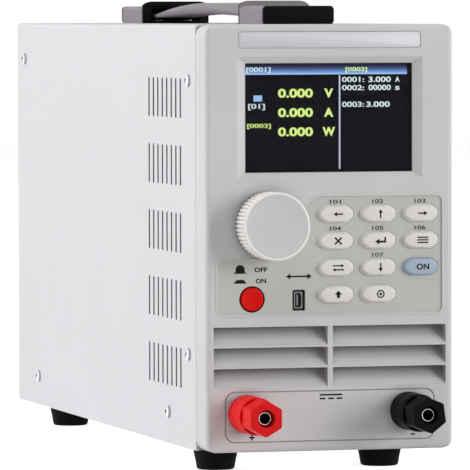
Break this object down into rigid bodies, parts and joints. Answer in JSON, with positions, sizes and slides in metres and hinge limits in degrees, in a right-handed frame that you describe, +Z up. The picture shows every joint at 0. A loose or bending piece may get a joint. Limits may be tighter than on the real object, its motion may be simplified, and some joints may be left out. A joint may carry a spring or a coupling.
{
  "type": "dc electronic load",
  "caption": "Tall narrow bench load for direct current with a screen, keys, a ribbed knob, red and black binding posts, side vents and a carrying strap.",
  "frame": {"origin": "on the floor under the middle of the overall box", "axes": "+Z up, the front with screen and posts faces -Y, +X to the right as seen from the front"},
  "size_m": [0.1238, 0.4202, 0.219],
  "materials": {
    "bezel_plastic": "fine moulded grain",
    "overlay_film": "fine satin film",
    "screen_glass": "clear, smooth",
    "display_black": "dark screen",
    "board_green": "solder mask",
    "switch_black": "plain moulded",
    "steel_plate": "plated",
    "knob_plastic": "satin, ribbed side",
    "button_red": "smooth moulded",
    "key_white": "soft satin",
    "key_blue": "translucent satin",
    "post_red": "moulded insulator",
    "post_black": "moulded insulator",
    "post_metal": "nickel plated",
    "copper_bar": "bare rolled bar",
    "case_paint": "fine powder coat",
    "tray_metal": "zinc plated sheet",
    "screw_bright": "bright plated",
    "foot_rubber": "matte rubber",
    "handle_black": "moulded",
    "handle_grey": "satin moulded",
    "sink_aluminium": "extruded",
    "post_brass": "turned",
    "can_blue": "sleeved can",
    "core_iron": "varnished laminations"
  },
  "bodies": {
    "chassis": {"front_bezel": "bezel_plastic", "screen_window": "screen_glass", "display_module": "display_black", "control_overlay": "overlay_film", "key_board": "board_green", "tact_switches": "switch_black", "rotary_encoder": "steel_plate", "power_switch": "switch_black", "usb_socket": "steel_plate", "red_post_base": "post_red", "red_post_stud": "post_metal", "black_post_base": "post_black", "black_post_stud": "post_metal", "post_locknuts": "post_metal", "input_bars": "copper_bar", "case_cover": "case_paint", "chassis_tray": "tray_metal", "rear_panel": "tray_metal", "case_screws": "screw_bright", "foot_front_left": "foot_rubber", "foot_front_right": "foot_rubber", "foot_rear_left": "foot_rubber", "foot_rear_right": "foot_rubber", "foot_screws": "screw_bright", "handle_base_front": "handle_black", "handle_base_rear": "handle_black", "handle_hood_front": "handle_grey", "handle_hood_rear": "handle_grey", "handle_screws": "screw_bright", "heatsink": "sink_aluminium", "power_transistors": "switch_black", "power_board": "board_green", "board_posts": "post_brass", "bulk_capacitors": "can_blue", "mains_transformer": "core_iron", "fan_frame": "switch_black", "fan_screws": "screw_bright", "mains_inlet": "switch_black"},
    "knob": {"knob": "knob_plastic", "encoder_shaft": "steel_plate"},
    "key_left": {"key_left": "key_white"},
    "key_up": {"key_up": "key_white"},
    "key_right": {"key_right": "key_white"},
    "key_back": {"key_back": "key_white"},
    "key_enter": {"key_enter": "key_white"},
    "key_mode": {"key_mode": "key_white"},
    "key_channel": {"key_channel": "key_white"},
    "key_down": {"key_down": "key_white"},
    "key_on": {"key_on": "key_blue"},
    "key_shift": {"key_shift": "key_white"},
    "key_local": {"key_local": "key_white"},
    "power_button": {"power_button": "button_red"},
    "red_washer": {"red_post_washer": "post_metal"},
    "red_nut": {"red_post_nut": "post_red"},
    "black_washer": {"black_post_washer": "post_metal"},
    "black_nut": {"black_post_nut": "post_black"},
    "fan": {"fan_rotor": "switch_black"},
    "fuse_drawer": {"fuse_drawer": "switch_black"},
    "strap": {"handle_strap": "handle_grey"}
  },
  "joints": [
    {"name": "knob_turn", "type": "hinge", "parent": "chassis", "child": "knob", "pos_m": [-0.03, -0.17575, 0.11455], "axis": [0, 1, 0], "continuous": true},
    {"name": "key_left_press", "type": "slide", "parent": "chassis", "child": "key_left", "axis": [0, 1, 0], "range_m": [0, 0.0012], "stiffness_N_per_m": 800},
    {"name": "key_up_press", "type": "slide", "parent": "chassis", "child": "key_up", "axis": [0, 1, 0], "range_m": [0, 0.0012], "stiffness_N_per_m": 800},
    {"name": "key_right_press", "type": "slide", "parent": "chassis", "child": "key_right", "axis": [0, 1, 0], "range_m": [0, 0.0012], "stiffness_N_per_m": 800},
    {"name": "key_back_press", "type": "slide", "parent": "chassis", "child": "key_back", "axis": [0, 1, 0], "range_m": [0, 0.0012], "stiffness_N_per_m": 800},
    {"name": "key_enter_press", "type": "slide", "parent": "chassis", "child": "key_enter", "axis": [0, 1, 0], "range_m": [0, 0.0012], "stiffness_N_per_m": 800},
    {"name": "key_mode_press", "type": "slide", "parent": "chassis", "child": "key_mode", "axis": [0, 1, 0], "range_m": [0, 0.0012], "stiffness_N_per_m": 800},
    {"name": "key_channel_press", "type": "slide", "parent": "chassis", "child": "key_channel", "axis": [0, 1, 0], "range_m": [0, 0.0012], "stiffness_N_per_m": 800},
    {"name": "key_down_press", "type": "slide", "parent": "chassis", "child": "key_down", "axis": [0, 1, 0], "range_m": [0, 0.0012], "stiffness_N_per_m": 800},
    {"name": "key_on_press", "type": "slide", "parent": "chassis", "child": "key_on", "axis": [0, 1, 0], "range_m": [0, 0.0012], "stiffness_N_per_m": 800},
    {"name": "key_shift_press", "type": "slide", "parent": "chassis", "child": "key_shift", "axis": [0, 1, 0], "range_m": [0, 0.0012], "stiffness_N_per_m": 800},
    {"name": "key_local_press", "type": "slide", "parent": "chassis", "child": "key_local", "axis": [0, 1, 0], "range_m": [0, 0.0012], "stiffness_N_per_m": 800},
    {"name": "power_release", "type": "slide", "parent": "chassis", "child": "power_button", "axis": [0, -1, 0], "range_m": [0, 0.0035]},
    {"name": "red_clamp_slide", "type": "slide", "parent": "chassis", "child": "red_washer", "axis": [0, -1, 0], "range_m": [0, 0.006]},
    {"name": "red_nut_turn", "type": "hinge", "parent": "red_washer", "child": "red_nut", "pos_m": [-0.0405, -0.19575, 0.0271], "axis": [0, -1, 0], "range_deg": [0, 2160]},
    {"name": "black_clamp_slide", "type": "slide", "parent": "chassis", "child": "black_washer", "axis": [0, -1, 0], "range_m": [0, 0.006]},
    {"name": "black_nut_turn", "type": "hinge", "parent": "black_washer", "child": "black_nut", "pos_m": [0.0379, -0.19575, 0.0271], "axis": [0, -1, 0], "range_deg": [0, 2160]},
    {"name": "fan_spin", "type": "hinge", "parent": "chassis", "child": "fan", "pos_m": [0, 0.19425, 0.063], "axis": [0, 1, 0], "continuous": true},
    {"name": "fuse_drawer_slide", "type": "slide", "parent": "chassis", "child": "fuse_drawer", "axis": [0, 1, 0], "range_m": [0, 0.018]},
    {"name": "strap_lift", "type": "slide", "parent": "chassis", "child": "strap", "axis": [0, 0, 1], "range_m": [0, 0.002]}
  ],
  "couplings": [
    {"joint": "red_nut_turn", "follows": "red_clamp_slide", "rad_per_m": 6283.2},
    {"joint": "black_nut_turn", "follows": "black_clamp_slide", "rad_per_m": 6283.2}
  ]
}
